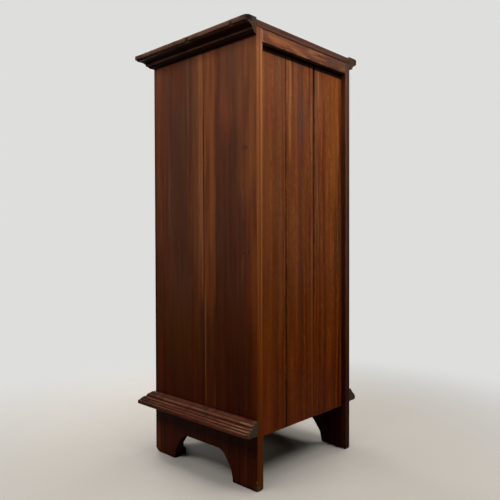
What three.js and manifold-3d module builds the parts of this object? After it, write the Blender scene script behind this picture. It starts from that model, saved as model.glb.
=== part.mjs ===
// Semainier: a narrow chest of seven drawers in stained hardwood, in millimetres, +Z up.
// The front faces -Y and the back faces +Y. Left and right are as seen from the front.
// The chest is worked out about its own centre, then set so that the origin lies on the
// floor, under the middle of its whole footprint.

import * as THREE from 'three'
import { mergeVertices } from 'three/addons/utils/BufferGeometryUtils.js'
import Module from 'manifold-3d'

// Driving dimensions of the carcass
const BODY_WIDTH = 344
const BODY_DEPTH = 344
const BODY_HEIGHT = 980
const PANEL_THICKNESS = 18
const TOP_THICKNESS = 15

// Bracket feet, sawn out of the side panels and of the front apron
const FOOT_WIDTH = 73
const ARCH_HEIGHT = 64
const ARCH_CURVE_RUN = 44
const APRON_THICKNESS = 18
// How far in, as a share of the run, and how high, as a share of the arch
const ARCH_CURVE_SHARES = [
  [0, 0], [0.07, 0.3], [0.18, 0.49], [0.36, 0.65], [0.52, 0.8], [0.7, 0.92], [1, 1],
]

// Cornice round the front and both sides
const CORNICE_HEIGHT = 34
const CORNICE_PROJECTION = 33
const CORNICE_LIP = 3
// Outline from the soffit at the body outwards and up: shares of projection and height
const CORNICE_OUTLINE_SHARES = [
  [0, 0], [0.24, 0.02], [0.31, 0.07], [0.36, 0.14], [0.37, 0.21], [0.46, 0.27], [0.52, 0.35],
  [0.53, 0.42], [0.64, 0.47], [0.74, 0.55], [0.77, 0.62], [0.86, 0.65], [0.93, 0.69],
  [0.94, 0.73], [1, 0.73], [1, 0.97], [0.96, 1], [0, 1],
]

// Base moulding round the front and both sides
const BASE_MOULDING_BOTTOM = 118
const BASE_MOULDING_HEIGHT = 31
const BASE_MOULDING_PROJECTION = 32
const BASE_OUTLINE_SHARES = [
  [0, 0], [0.94, 0], [1, 0.08], [1, 0.28], [0.95, 0.34], [0.89, 0.34], [0.86, 0.46], [0.75, 0.52],
  [0.65, 0.6], [0.54, 0.64], [0.53, 0.69], [0.46, 0.74], [0.38, 0.86], [0.25, 0.93], [0.24, 1],
  [0, 1],
]
const MITRE_GAP = 0.3

// Back: three upright boards in grooves, under a rail that is flush with the panels
const BACK_RECESS = 12
const BACK_BOARD_THICKNESS = 9
const BACK_BOARD_BOTTOM = 107
const BACK_RAIL_HEIGHT = 27
const BACK_GROOVE_DEPTH = 5
// Where the two joints between the boards lie, across from the middle, and how far they gape
const FIRST_BACK_JOINT = -40
const SECOND_BACK_JOINT = 64
const TIGHT_JOINT_GAP = 0.6
const OPEN_JOINT_GAP = 2.4

// Bottom board, housed in the side panels
const BOTTOM_BOARD_THICKNESS = 12
const HOUSING_DEPTH = 6

// Face frame with seven openings, between the side panels
const DRAWER_COUNT = 7
const FRAME_THICKNESS = 18
const STILE_WIDTH = 8
const RAIL_HEIGHT = 14
const SILL_ABOVE_MOULDING = 1
const HEAD_BELOW_CORNICE = 6

// Runner racks: a lining board with a runner under each drawer and a kicker over the top one
const RUNNER_PROJECTION = 14

// Drawers
const DRAWER_CLEARANCE = 0.9
const RUNNING_GAP = 0.3
const GLUE_GAP = 0.3
const FRONT_THICKNESS = 18
const FRONT_SETBACK = 0.5
const FRONT_BEVEL = 2.5
const DRAWER_REAR_CLEARANCE = 4
const DRAWER_SIDE_THICKNESS = 9
const SIDE_TOP_DROP = 4
const TAIL_COUNT = 3
const TAIL_LENGTH = 12
const PIN_AT_TAIL_END = 5
const PIN_AT_SHOULDER = 9
const DRAWER_BACK_THICKNESS = 8
const DRAWER_BACK_INSET = 8
const DRAWER_BACK_DROP = 8
const DADO_DEPTH = 4
const DRAWER_BOTTOM_THICKNESS = 5
const DRAWER_BOTTOM_RAISE = 7
const DRAWER_GROOVE_DEPTH = 4

// Turned knob with a round tenon through the drawer front
const KNOB_TENON_RADIUS = 4
const KNOB_TENON_LENGTH = 16
const KNOB_ROSE_RADIUS = 11
const KNOB_ROSE_THICKNESS = 3
const KNOB_NECK_RADIUS = 5.5
const KNOB_BALL_RADIUS = 12.5
const KNOB_REACH = 24
const KNOB_NECK_END_SHARE = 0.22
const KNOB_BALL_ANGLES = [-50, -20, 10, 40, 65]
const KNOB_SEGMENTS = 20

// How far a cutter runs past what it cuts
const OVERRUN = 5

// Levels and faces that follow from the sizes above
const outerX = BODY_WIDTH / 2
const innerX = outerX - PANEL_THICKNESS
const openingX = innerX - STILE_WIDTH
const frontY = -BODY_DEPTH / 2
const backY = BODY_DEPTH / 2
const frameBackY = frontY + FRAME_THICKNESS
const boardBackY = backY - BACK_RECESS
const boardFrontY = boardBackY - BACK_BOARD_THICKNESS
const panelTopZ = BODY_HEIGHT - TOP_THICKNESS
const corniceBottomZ = BODY_HEIGHT + CORNICE_LIP - CORNICE_HEIGHT
const sillZ = BASE_MOULDING_BOTTOM + BASE_MOULDING_HEIGHT + SILL_ABOVE_MOULDING
const headZ = corniceBottomZ - HEAD_BELOW_CORNICE
const openingHeight = (headZ - sillZ - (DRAWER_COUNT - 1) * RAIL_HEIGHT) / DRAWER_COUNT
const openingPitch = openingHeight + RAIL_HEIGHT
const bottomBoardTopZ = sillZ - RAIL_HEIGHT
const bottomBoardZ = bottomBoardTopZ - BOTTOM_BOARD_THICKNESS

// Stained wood finishes
const FINISHES = {
  carcass: { color: 0x4a2a1e, roughness: 0.42 },
  back: { color: 0x5f3418, roughness: 0.5 },
  moulding: { color: 0x4a2c22, roughness: 0.45 },
  drawerFront: { color: 0x552c1c, roughness: 0.4 },
  inside: { color: 0x8a6240, roughness: 0.7 },
  knob: { color: 0x3a2018, roughness: 0.35 },
}

const wasm = await Module()
wasm.setup()

// A closed geometry as a solid that can be cut
function solidOf(geometry) {
  const bare = geometry.clone()
  bare.deleteAttribute('normal')
  bare.deleteAttribute('uv')
  const merged = mergeVertices(bare)
  return new wasm.Manifold(new wasm.Mesh({
    numProp: 3,
    vertProperties: new Float32Array(merged.attributes.position.array),
    triVerts: new Uint32Array(merged.index.array),
  }))
}

function geometryOf(solid) {
  const mesh = solid.getMesh()
  const geometry = new THREE.BufferGeometry()
  geometry.setAttribute('position', new THREE.BufferAttribute(new Float32Array(mesh.vertProperties), 3))
  geometry.setIndex(new THREE.BufferAttribute(new Uint32Array(mesh.triVerts), 1))
  return geometry
}

function cut(geometry, cutters) {
  let solid = solidOf(geometry)
  for (const cutter of cutters) solid = solid.subtract(solidOf(cutter))
  return geometryOf(solid)
}

// A board between two corners
function board([x0, y0, z0], [x1, y1, z1]) {
  const geometry = new THREE.BoxGeometry(x1 - x0, y1 - y0, z1 - z0)
  return geometry.translate((x0 + x1) / 2, (y0 + y1) / 2, (z0 + z1) / 2)
}

function shapeOf(outline) {
  return new THREE.Shape(outline.map(([u, v]) => new THREE.Vector2(u, v)))
}

// A (y, z) outline carried across from x0 to x1
function acrossWidth(outline, x0, x1) {
  const geometry = new THREE.ExtrudeGeometry(shapeOf(outline), { depth: x1 - x0, bevelEnabled: false })
  const turn = new THREE.Matrix4().makeBasis(
    new THREE.Vector3(0, 1, 0), new THREE.Vector3(0, 0, 1), new THREE.Vector3(1, 0, 0))
  return geometry.applyMatrix4(turn).translate(x0, 0, 0)
}

// An (x, z) outline with its holes, carried back from y0 to y1
function alongDepth(outline, y0, y1, holes = []) {
  const shape = shapeOf(outline)
  for (const hole of holes) shape.holes.push(shapeOf(hole))
  const geometry = new THREE.ExtrudeGeometry(shape, { depth: y1 - y0, bevelEnabled: false })
  const turn = new THREE.Matrix4().makeBasis(
    new THREE.Vector3(1, 0, 0), new THREE.Vector3(0, 0, 1), new THREE.Vector3(0, -1, 0))
  return geometry.applyMatrix4(turn).translate(0, y1, 0)
}

function ordered(a, b) {
  return [Math.min(a, b), Math.max(a, b)]
}

function rectangle(x0, z0, x1, z1) {
  return [[x0, z0], [x1, z0], [x1, z1], [x0, z1]]
}

// A closed solid through rings of points that match one to one, its ends capped flat.
// outline is the ring's own flat shape, from which the caps are cut into triangles.
function loft(rings, outline) {
  const count = outline.length
  const contour = outline.map(([u, v]) => new THREE.Vector2(u, v))
  const cap = THREE.ShapeUtils.triangulateShape(contour, [])
  const positions = rings.flat(2)
  const last = (rings.length - 1) * count
  const triangles = []
  for (const [a, b, c] of cap) {
    triangles.push([a, c, b])
    triangles.push([last + a, last + b, last + c])
  }
  for (let ring = 0; ring < rings.length - 1; ring += 1) {
    for (let i = 0; i < count; i += 1) {
      const here = ring * count + i
      const next = ring * count + (i + 1) % count
      triangles.push([here, next, next + count])
      triangles.push([here, next + count, here + count])
    }
  }
  const point = (i) => new THREE.Vector3().fromArray(positions, i * 3)
  const volume = triangles.reduce(
    (sum, [a, b, c]) => sum + point(a).dot(point(b).cross(point(c))), 0)
  const outward = volume > 0 ? triangles : triangles.map(([a, b, c]) => [a, c, b])
  const geometry = new THREE.BufferGeometry()
  geometry.setAttribute('position', new THREE.Float32BufferAttribute(positions, 3))
  geometry.setIndex(outward.flat())
  return geometry
}

// The chest stands so that its origin is under the middle of the whole footprint
const frontReach = Math.max(CORNICE_PROJECTION, BASE_MOULDING_PROJECTION, KNOB_REACH - FRONT_SETBACK)
const semainier = new THREE.Group()
semainier.position.y = frontReach / 2

function place(name, geometry, finish, parent = semainier) {
  geometry.computeVertexNormals()
  const material = new THREE.MeshStandardMaterial({ ...FINISHES[finish], metalness: 0 })
  const mesh = new THREE.Mesh(geometry, material)
  mesh.name = name
  parent.add(mesh)
}

// The sawn arch between two feet, from the first foot's inner edge to the second's
function archBetween(first, second) {
  const curve = (start, inward) => ARCH_CURVE_SHARES.map(
    ([run, rise]) => [start + inward * run * ARCH_CURVE_RUN, rise * ARCH_HEIGHT])
  return [...curve(first, 1), ...curve(second, -1).reverse()]
}

// Side panels, arched between the feet, housed for the bottom board, grooved for the back
function sidePanel(side) {
  const outline = [
    [frontY, 0],
    ...archBetween(frontY + FOOT_WIDTH, backY - FOOT_WIDTH),
    [backY, 0],
    [backY, panelTopZ],
    [frontY, panelTopZ],
  ]
  const panel = acrossWidth(outline, ...ordered(side * innerX, side * outerX))
  const across = (depth) => ordered(side * (innerX - OVERRUN), side * (innerX + depth + GLUE_GAP))
  const [housing0, housing1] = across(HOUSING_DEPTH)
  const housing = board(
    [housing0, frameBackY, bottomBoardZ], [housing1, boardFrontY, bottomBoardTopZ + GLUE_GAP])
  const [groove0, groove1] = across(BACK_GROOVE_DEPTH)
  const groove = board(
    [groove0, boardFrontY - GLUE_GAP, BACK_BOARD_BOTTOM - GLUE_GAP],
    [groove1, boardBackY + GLUE_GAP, panelTopZ + OVERRUN])
  return cut(panel, [housing, groove])
}

const SIDES = [['left', -1], ['right', 1]]
for (const [name, side] of SIDES) {
  place(`side_panel_${name}`, sidePanel(side), 'carcass')
}

// Top board on the panels, and the bottom board in its housings
place('top_board', board([-outerX, frontY, panelTopZ], [outerX, backY, BODY_HEIGHT]), 'carcass')
const bottomBoardX = innerX + HOUSING_DEPTH
place('bottom_board', board(
  [-bottomBoardX, frameBackY, bottomBoardZ], [bottomBoardX, boardFrontY, bottomBoardTopZ]), 'inside')

// Back rail, then three back boards: the first joint gapes at its top, the second is tight
place('back_top_rail', board(
  [-innerX, boardBackY, panelTopZ - BACK_RAIL_HEIGHT], [innerX, backY, panelTopZ]), 'back')
const backEdgeX = innerX + BACK_GROOVE_DEPTH
const backJoints = [
  { low: -backEdgeX, high: -backEdgeX, lowGap: 0, highGap: 0 },
  { low: FIRST_BACK_JOINT, high: FIRST_BACK_JOINT, lowGap: TIGHT_JOINT_GAP, highGap: OPEN_JOINT_GAP },
  { low: SECOND_BACK_JOINT, high: SECOND_BACK_JOINT, lowGap: TIGHT_JOINT_GAP, highGap: TIGHT_JOINT_GAP },
  { low: backEdgeX, high: backEdgeX, lowGap: 0, highGap: 0 },
]
for (let i = 0; i < backJoints.length - 1; i += 1) {
  const before = backJoints[i]
  const after = backJoints[i + 1]
  const outline = [
    [before.low + before.lowGap / 2, BACK_BOARD_BOTTOM],
    [after.low - after.lowGap / 2, BACK_BOARD_BOTTOM],
    [after.high - after.highGap / 2, panelTopZ],
    [before.high + before.highGap / 2, panelTopZ],
  ]
  place(`back_board_${i + 1}`, alongDepth(outline, boardFrontY, boardBackY), 'back')
}

// Front apron with its own pair of feet, under the face frame
place('front_apron', alongDepth([
  [-innerX, 0],
  ...archBetween(-outerX + FOOT_WIDTH, outerX - FOOT_WIDTH),
  [innerX, 0],
  [innerX, BASE_MOULDING_BOTTOM],
  [-innerX, BASE_MOULDING_BOTTOM],
], frontY, frontY + APRON_THICKNESS), 'carcass')

// Face frame: thin stiles, a sill rail, a head rail and a rail between each two drawers
const openingBottoms = Array.from({ length: DRAWER_COUNT }, (_, level) => sillZ + level * openingPitch)
place('front_frame', alongDepth(
  rectangle(-innerX, BASE_MOULDING_BOTTOM, innerX, panelTopZ), frontY, frameBackY,
  openingBottoms.map((z) => rectangle(-openingX, z, openingX, z + openingHeight))), 'carcass')

// Runner racks, in section: the lining at the panel, a tooth for each runner and the kicker
function rackOutline(side) {
  const teeth = [...openingBottoms.map((z) => [z - RAIL_HEIGHT, z]), [headZ, panelTopZ]]
  const toothX = openingX - RUNNER_PROJECTION
  const inner = teeth.flatMap(([low, high]) => [
    [openingX, low], [toothX, low], [toothX, high], [openingX, high]])
  const outline = [[innerX, bottomBoardTopZ], ...inner.slice(1, -1), [innerX, panelTopZ]]
  return outline.map(([x, z]) => [side * x, z])
}
for (const [name, side] of SIDES) {
  place(`runner_rack_${name}`, alongDepth(rackOutline(side), frameBackY, boardFrontY), 'inside')
}

// A moulding run along one face, its outline held against the body; the ends that meet
// another run are mitred, and the rear ends are cut flush with the back
function frontRun(outline, bottomZ) {
  const end = (sign) => outline.map(([out, up]) => [
    sign * (outerX + out - MITRE_GAP / 2), frontY - out, bottomZ + up])
  return loft([end(-1), end(1)], outline)
}

function sideRun(outline, bottomZ, side) {
  const mitred = outline.map(([out, up]) => [
    side * (outerX + out), frontY - out + MITRE_GAP / 2, bottomZ + up])
  const flush = outline.map(([out, up]) => [side * (outerX + out), backY, bottomZ + up])
  return loft([mitred, flush], outline)
}

function mouldings(name, shares, projection, height, bottomZ) {
  const outline = shares.map(([out, up]) => [out * projection, up * height])
  place(`${name}_front`, frontRun(outline, bottomZ), 'moulding')
  for (const [sideName, side] of SIDES) {
    place(`${name}_${sideName}`, sideRun(outline, bottomZ, side), 'moulding')
  }
}
mouldings('cornice', CORNICE_OUTLINE_SHARES, CORNICE_PROJECTION, CORNICE_HEIGHT, corniceBottomZ)
mouldings('base_moulding', BASE_OUTLINE_SHARES, BASE_MOULDING_PROJECTION, BASE_MOULDING_HEIGHT,
  BASE_MOULDING_BOTTOM)

// Drawer, worked out above the floor of its own opening at z = 0
const drawerX = openingX - DRAWER_CLEARANCE
const drawerInnerX = drawerX - DRAWER_SIDE_THICKNESS
const faceY = frontY + FRONT_SETBACK
const shoulderY = faceY + FRONT_THICKNESS
const drawerRearY = boardFrontY - DRAWER_REAR_CLEARANCE
const frontBottomZ = DRAWER_CLEARANCE
const frontTopZ = openingHeight - DRAWER_CLEARANCE
const sideBottomZ = RUNNING_GAP
const sideTopZ = frontTopZ - SIDE_TOP_DROP
const grooveZ = sideBottomZ + DRAWER_BOTTOM_RAISE
const grooveTopZ = grooveZ + DRAWER_BOTTOM_THICKNESS + GLUE_GAP
const drawerBackRearY = drawerRearY - DRAWER_BACK_INSET
const drawerBackFrontY = drawerBackRearY - DRAWER_BACK_THICKNESS
const bottomEdgeX = drawerInnerX + DRAWER_GROOVE_DEPTH
const bottomFrontY = shoulderY - DRAWER_GROOVE_DEPTH
const knobZ = openingHeight / 2

// The dovetails' (y, z) corners, each tail widening from the shoulder to its end
function tails(grow) {
  const pitch = (sideTopZ - sideBottomZ) / TAIL_COUNT
  return Array.from({ length: TAIL_COUNT }, (_, i) => {
    const middle = sideBottomZ + (i + 1 / 2) * pitch
    const halfEnd = (pitch - PIN_AT_TAIL_END) / 2 + grow
    const halfShoulder = (pitch - PIN_AT_SHOULDER) / 2 + grow
    const endY = shoulderY - TAIL_LENGTH - grow
    return [
      [shoulderY, middle + halfShoulder], [endY, middle + halfEnd],
      [endY, middle - halfEnd], [shoulderY, middle - halfShoulder],
    ]
  })
}

function drawerSide(side) {
  const outline = [
    [shoulderY, sideBottomZ],
    [drawerRearY, sideBottomZ],
    [drawerRearY, sideTopZ],
    [shoulderY, sideTopZ],
    ...tails(0).reverse().flat(),
  ]
  const blank = acrossWidth(outline, ...ordered(side * drawerInnerX, side * drawerX))
  const across = (depth) => ordered(
    side * (drawerInnerX - OVERRUN), side * (drawerInnerX + depth + GLUE_GAP))
  const [groove0, groove1] = across(DRAWER_GROOVE_DEPTH)
  const groove = board(
    [groove0, bottomFrontY - GLUE_GAP, grooveZ], [groove1, drawerRearY + OVERRUN, grooveTopZ])
  const [dado0, dado1] = across(DADO_DEPTH)
  const dado = board(
    [dado0, drawerBackFrontY - GLUE_GAP, grooveZ + DRAWER_BOTTOM_THICKNESS],
    [dado1, drawerBackRearY + GLUE_GAP, sideTopZ + OVERRUN])
  return cut(blank, [groove, dado])
}

// Drawer front with bevelled arrises, half-blind sockets, a groove and the knob's hole
function drawerFront() {
  const ring = (inset, y) => {
    const x = drawerX - inset
    return rectangle(-x, frontBottomZ + inset, x, frontTopZ - inset).map(([u, z]) => [u, y, z])
  }
  const blank = loft(
    [ring(0, shoulderY), ring(0, faceY + FRONT_BEVEL), ring(FRONT_BEVEL, faceY)],
    rectangle(-drawerX, frontBottomZ, drawerX, frontTopZ))
  const sockets = SIDES.flatMap(([, side]) => tails(GLUE_GAP).map((tail) => acrossWidth(
    [...tail, [shoulderY + OVERRUN, tail[3][1]], [shoulderY + OVERRUN, tail[0][1]]],
    ...ordered(side * (drawerInnerX - GLUE_GAP), side * (drawerX + OVERRUN)))))
  const groove = board(
    [-bottomEdgeX - GLUE_GAP, bottomFrontY - GLUE_GAP, grooveZ],
    [bottomEdgeX + GLUE_GAP, shoulderY + OVERRUN, grooveTopZ])
  const hole = new THREE.CylinderGeometry(
    KNOB_TENON_RADIUS + GLUE_GAP, KNOB_TENON_RADIUS + GLUE_GAP,
    FRONT_THICKNESS + 2 * OVERRUN, KNOB_SEGMENTS)
  hole.translate(0, (faceY + shoulderY) / 2, knobZ)
  return cut(blank, [...sockets, groove, hole])
}

// Turned knob: tenon, rose, neck and flattened ball, about the Y axis
function knob() {
  const neckEnd = KNOB_ROSE_THICKNESS + (KNOB_REACH - KNOB_ROSE_THICKNESS) * KNOB_NECK_END_SHARE
  const ballMiddle = (neckEnd + KNOB_REACH) / 2
  const ballHalf = KNOB_REACH - ballMiddle
  const ball = KNOB_BALL_ANGLES.map((degrees) => {
    const angle = THREE.MathUtils.degToRad(degrees)
    return [KNOB_BALL_RADIUS * Math.cos(angle), ballMiddle + ballHalf * Math.sin(angle)]
  })
  const profile = [
    [0, -KNOB_TENON_LENGTH],
    [KNOB_TENON_RADIUS, -KNOB_TENON_LENGTH],
    [KNOB_TENON_RADIUS, 0],
    [KNOB_ROSE_RADIUS, 0],
    [KNOB_ROSE_RADIUS, KNOB_ROSE_THICKNESS / 2],
    [(KNOB_ROSE_RADIUS + KNOB_NECK_RADIUS) / 2, KNOB_ROSE_THICKNESS],
    [KNOB_NECK_RADIUS, (KNOB_ROSE_THICKNESS + neckEnd) / 2],
    ...ball,
    [0, KNOB_REACH],
  ]
  const geometry = new THREE.LatheGeometry(profile.map(([r, h]) => new THREE.Vector2(r, h)), KNOB_SEGMENTS)
  return geometry.rotateX(Math.PI).translate(0, faceY, knobZ)
}

const drawerParts = {
  front: [drawerFront(), 'drawerFront'],
  side_left: [drawerSide(-1), 'inside'],
  side_right: [drawerSide(1), 'inside'],
  back: [board(
    [-drawerInnerX - DADO_DEPTH, drawerBackFrontY, grooveZ + DRAWER_BOTTOM_THICKNESS],
    [drawerInnerX + DADO_DEPTH, drawerBackRearY, sideTopZ - DRAWER_BACK_DROP]), 'inside'],
  bottom: [board(
    [-bottomEdgeX, bottomFrontY, grooveZ],
    [bottomEdgeX, drawerRearY, grooveZ + DRAWER_BOTTOM_THICKNESS]), 'inside'],
  knob: [knob(), 'knob'],
}

// Seven drawers, counted from the top
for (let number = 1; number <= DRAWER_COUNT; number += 1) {
  const drawer = new THREE.Group()
  drawer.position.z = openingBottoms[DRAWER_COUNT - number]
  semainier.add(drawer)
  for (const [part, [geometry, finish]] of Object.entries(drawerParts)) {
    place(`drawer_${number}_${part}`, geometry, finish, drawer)
  }
}

export default semainier
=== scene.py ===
"""Semainier: a narrow chest of seven drawers, its boards, mouldings and knobs in stained wood."""
from functools import partial
from math import cos, radians, sin

import bmesh
import bpy
from mathutils import Matrix, Vector, noise


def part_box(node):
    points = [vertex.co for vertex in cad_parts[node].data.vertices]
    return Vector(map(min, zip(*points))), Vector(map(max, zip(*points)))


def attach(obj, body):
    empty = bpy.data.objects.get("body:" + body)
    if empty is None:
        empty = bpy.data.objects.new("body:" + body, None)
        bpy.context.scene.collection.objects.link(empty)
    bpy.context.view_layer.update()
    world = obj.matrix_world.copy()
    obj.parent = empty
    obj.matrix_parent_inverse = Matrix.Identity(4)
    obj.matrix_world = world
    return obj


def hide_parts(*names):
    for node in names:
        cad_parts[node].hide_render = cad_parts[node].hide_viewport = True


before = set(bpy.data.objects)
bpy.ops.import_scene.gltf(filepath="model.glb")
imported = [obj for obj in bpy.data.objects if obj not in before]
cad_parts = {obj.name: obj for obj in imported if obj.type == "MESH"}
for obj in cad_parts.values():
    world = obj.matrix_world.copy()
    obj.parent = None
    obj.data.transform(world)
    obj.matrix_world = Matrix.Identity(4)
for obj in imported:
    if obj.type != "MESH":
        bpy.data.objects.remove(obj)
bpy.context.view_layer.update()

MM = 0.001

# The carcass, from the frame itself: lowest and highest corners of the boards
PANEL_LOW, PANEL_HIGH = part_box("side_panel_right")
OUTER_X = PANEL_HIGH.x
INNER_X = PANEL_LOW.x
FRONT_Y = PANEL_LOW.y
BACK_Y = PANEL_HIGH.y
MIDDLE_Y = (FRONT_Y + BACK_Y) / 2
PANEL_TOP = PANEL_HIGH.z
CORNICE_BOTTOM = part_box("cornice_right")[0].z
BASE_BOTTOM, BASE_TOP = (corner.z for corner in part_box("base_moulding_right"))
SIDES = (("left", -1), ("right", 1))
DRAWER_NUMBERS = range(1, 8)

# Bracket feet: how far in, as a share of the run, and how high, as a share of the arch
FOOT_WIDTH = 73 * MM
ARCH_HEIGHT = 64 * MM
ARCH_RUN = 44 * MM
ARCH_SHARES = [(0, 0), (0.07, 0.3), (0.18, 0.49), (0.36, 0.65), (0.52, 0.8), (0.7, 0.92), (1, 1)]

# Joint between the two boards of a side, measured back from the middle, at foot and top
SIDE_JOINT_LOW = 11 * MM
SIDE_JOINT_HIGH = 8 * MM
SIDE_JOINT_GAP = 0.4 * MM

ARRIS = 1.1 * MM


# Node sheets

class Wire:
    """A socket on a node sheet that takes part in ordinary sums."""

    def __init__(self, sheet, socket):
        self.sheet = sheet
        self.socket = socket

    def moved(self, *by):
        return self.sheet.node("ShaderNodeVectorMath", {"operation": "ADD"}, (self, by))

    def __add__(self, other):
        return self.sheet.function("ADD", self, other)

    def __sub__(self, other):
        return self.sheet.function("SUBTRACT", self, other)

    def __rsub__(self, other):
        return self.sheet.function("SUBTRACT", other, self)

    def __mul__(self, other):
        return self.sheet.function("MULTIPLY", self, other)

    def __pow__(self, other):
        return self.sheet.function("POWER", self, other)

    def __abs__(self):
        return self.sheet.function("ABSOLUTE", self)

    __radd__ = __add__
    __rmul__ = __mul__


class Sheet:
    """A node tree, written node by node."""

    def __init__(self, tree):
        self.tree = tree
        self.tree.nodes.clear()

    def node(self, kind, settings=None, values=(), out=0):
        made = self.tree.nodes.new(kind)
        for key, setting in (settings or {}).items():
            if key == "stops":
                self._set_stops(made.color_ramp, setting)
            else:
                setattr(made, key, setting)
        pairs = values.items() if isinstance(values, dict) else enumerate(values)
        for key, value in pairs:
            if isinstance(value, Wire):
                self.tree.links.new(value.socket, made.inputs[key])
            else:
                made.inputs[key].default_value = value
        return Wire(self, made.outputs[out]) if made.outputs else made

    @staticmethod
    def _set_stops(ramp, stops):
        while len(ramp.elements) < len(stops):
            ramp.elements.new(1)
        for element, (place, tone) in zip(ramp.elements, stops):
            element.position = place
            element.color = tone

    def function(self, operation, *values):
        return self.node("ShaderNodeMath", {"operation": operation}, values)

    def rise(self, value, low, high):
        """0 below low, 1 above high, smooth between."""
        return self.node("ShaderNodeMapRange", {"interpolation_type": "SMOOTHSTEP"},
                         {"Value": value, "From Min": low, "From Max": high})

    def fall(self, value, low, high):
        """1 below low, 0 above high."""
        return 1 - self.rise(value, low, high)

    def join(self, x, y, z):
        return self.node("ShaderNodeCombineXYZ", None, (x, y, z))

    def cloud(self, vector, factors, detail=2.0, rough=0.5):
        """Soft random tone, its size along each axis one over the factors."""
        stretched = self.node("ShaderNodeVectorMath", {"operation": "MULTIPLY"}, (vector, factors))
        return self.node("ShaderNodeTexNoise", None, {
            "Vector": stretched, "Scale": 1.0, "Detail": detail, "Roughness": rough})

    def patches(self, vector, factors, low, high, detail=2.0, rough=0.5):
        """Soft patches, from none where a cloud is at low to whole where it is at high."""
        return self.rise(self.cloud(vector, factors, detail, rough), low, high)

    def mix(self, share, first, second, way="MIX"):
        return self.node("ShaderNodeMix", {"data_type": "RGBA", "blend_type": way},
                         {0: share, 6: first, 7: second}, out=2)


def colour(code):
    """A colour as it is seen, such as 4a2a1e, as linear values."""
    seen = [int(code[i:i + 2], 16) / 255 for i in (0, 2, 4)]
    return (*(c / 12.92 if c <= 0.04045 else ((c + 0.055) / 1.055) ** 2.4 for c in seen), 1.0)


# Finishes

# Axes across the board, through it and along its grain
UPRIGHT_SIDE = (1, 0, 2)
UPRIGHT_BACK = (0, 1, 2)
LEVEL_FACE = (2, 1, 0)
LEVEL_TOP = (1, 2, 0)
LEVEL_SIDE = (2, 0, 1)

# Length over which a streak fades out along the grain
STREAK_FADE = 45 * MM

# Heights over which the wood turns darker, yellower and threaded toward the floor;
# the darker and yellower part is partly stain and partly painted shade, for light that falls off
# toward the floor
DARKER_AND_SHADED = (0.08, 0.62)
YELLOWER = (0.2, 0.5)
THREADED = (0.05, 0.24)


class Wood(Sheet):
    """A board's finish: its figure, pores, worn arrises and polish."""

    def __init__(self, name, grain, seed):
        self.material = bpy.data.materials.new(name)
        self.material.use_nodes = True
        super().__init__(self.material.node_tree)
        self.place = self.node("ShaderNodeTexCoord", None, out=3)
        parts = [self.node("ShaderNodeSeparateXYZ", None, (self.place,), out=i) for i in range(3)]
        self.x, self.y, self.z = parts
        self.across, self.through, self.along = (parts[i] for i in grain)
        self.fibres = self.join(self.across + seed * 1.37, self.through + seed * 0.71,
                                self.along + seed * 2.13)
        self.base = None
        self.matt = 0.0
        self.sheltered = 0.0

    def ramp(self, value, places, tones):
        """Tones that follow a value, each at its place."""
        stops = [(place, colour(code)) for place, code in zip(places, tones)]
        return self.node("ShaderNodeValToRGB", {"stops": stops}, (value,))

    def lay(self, share, code, way="MIX"):
        """Lays a colour over the wood, in a share."""
        self.base = self.mix(share, self.base, colour(code), way)

    def shade(self, share, code):
        """Darkens the wood by a colour."""
        self.lay(share, code, "MULTIPLY")

    def rings(self, heart, depth, density, swirl):
        """Growth rings round a heart line behind the face, darkest at each year's end."""
        sway = self.cloud(self.fibres, (7, 7, 1.3)) - 0.5
        quiver = self.cloud(self.fibres, (40, 40, 6)) - 0.5
        side = self.across - heart + sway * (35 * MM * swirl) + quiver * (4 * MM * swirl)
        away = self.through + depth
        radius = (side * side + away * away) ** 0.5
        year = self.function("FRACT", radius * density + quiver)
        return self.rise(year, 0.2, 0.85) * self.fall(year, 0.9, 1.0)

    def past(self, value, place, low, high):
        """0 to 1 from low to high millimetres past a place."""
        return self.rise(value, place + low * MM, place + high * MM)

    def band(self, value, low, high, soft):
        """1 between low and high, with soft edges."""
        start = self.rise(value, low - soft, low + soft)
        return start * self.fall(value, high - soft, high + soft)

    def streak(self, across, low, high, run):
        """A streak along the grain, from low to high in millimetres, over a run of heights."""
        soft = min(4.5, 0.34 * (high - low) + 0.2) * MM
        streak = self.band(across, low * MM, high * MM, soft)
        return streak * self.band(self.along, *run, STREAK_FADE) if run else streak

    def arris_distance(self, low, high):
        """Distance to the nearest edge between two faces of a box."""
        first, second, third = (
            (end - start) / 2 - abs(value - (start + end) / 2)
            for value, start, end in zip((self.x, self.y, self.z), low, high))
        nearest = self.function("MINIMUM", first, second)
        further = self.function("MAXIMUM", first, second)
        return self.function("MAXIMUM", nearest, self.function("MINIMUM", further, third))

    def spot(self, centre, radius):
        """1 round a place, fading to 0 at a radius from it."""
        away = self.node("ShaderNodeVectorMath", {"operation": "DISTANCE"},
                         (self.place, centre), out="Value")
        return self.fall(away, radius * 0.5, radius)

    def finish(self, rough, height, coat):
        normal = self.node("ShaderNodeBump", None, {
            "Strength": 0.35, "Distance": 0.0004, "Height": height})
        shader = self.node("ShaderNodeBsdfPrincipled", None, {
            "Base Color": self.base, "Roughness": rough, "Normal": normal, "Coat Weight": coat,
            "Coat Roughness": 0.3, "Specular IOR Level": 0.06})
        self.node("ShaderNodeOutputMaterial", None, {"Surface": shader})
        return self.material


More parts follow.
